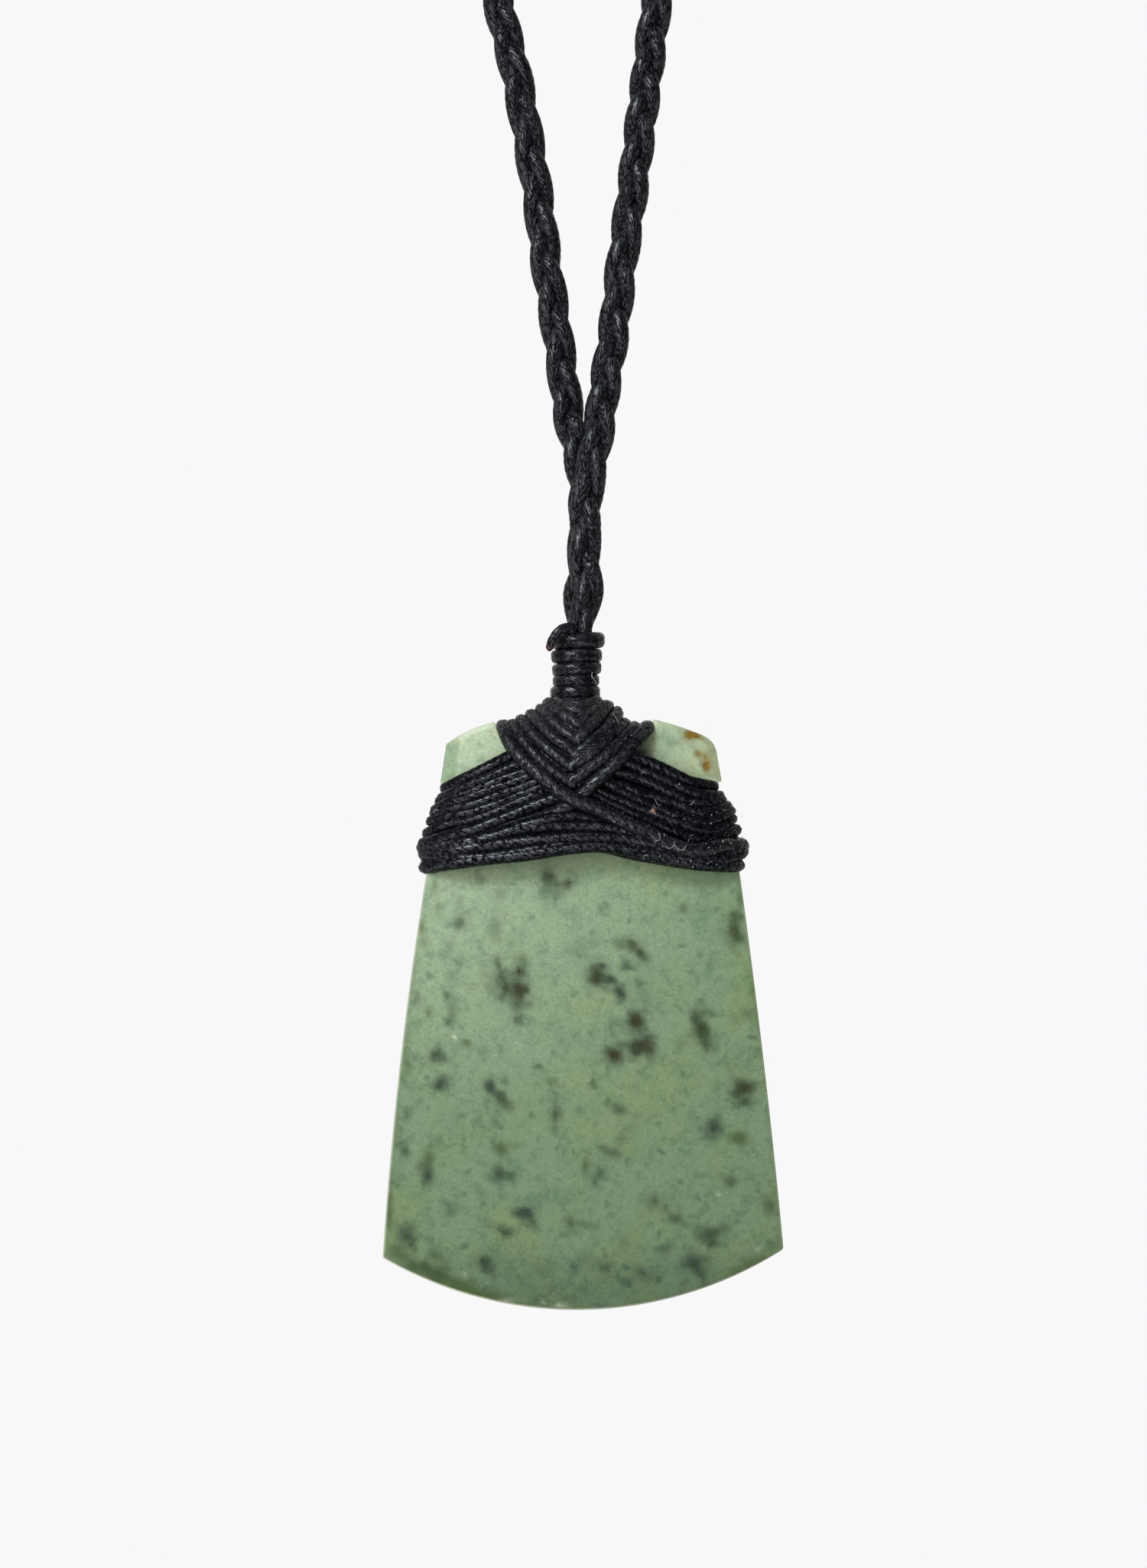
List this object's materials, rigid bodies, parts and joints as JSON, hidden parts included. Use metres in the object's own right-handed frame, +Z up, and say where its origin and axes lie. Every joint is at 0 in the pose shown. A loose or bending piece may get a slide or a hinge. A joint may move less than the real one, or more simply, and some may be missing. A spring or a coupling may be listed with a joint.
{
  "type": "toki adze pendant necklace",
  "caption": "Adze-shaped green stone pendant, lashed with waxed thread to a plaited black neck cord that forms one whole loop.",
  "frame": {"origin": "under the join at the nape, on the inner side of the loop of cord, where the necklace hangs", "axes": "+Z up along the hanging pendant's length, +X across its face to the viewer's right, -Y out of its face"},
  "size_m": [0.082, 0.009, 0.3572],
  "materials": {
    "greenstone": "satin, finely ground",
    "waxed_thread": "waxed braided thread",
    "plaited_cord": "three-strand plait of waxed braided thread"
  },
  "bodies": {
    "root": {"toki_blade": "greenstone", "shoulder_lashing": "waxed_thread", "collar_lashing": "waxed_thread", "neck_whipping": "waxed_thread", "thread_end": "waxed_thread", "neck_plait_left": "plaited_cord", "neck_plait_right": "plaited_cord", "nape_whipping": "waxed_thread"}
  },
  "joints": []
}
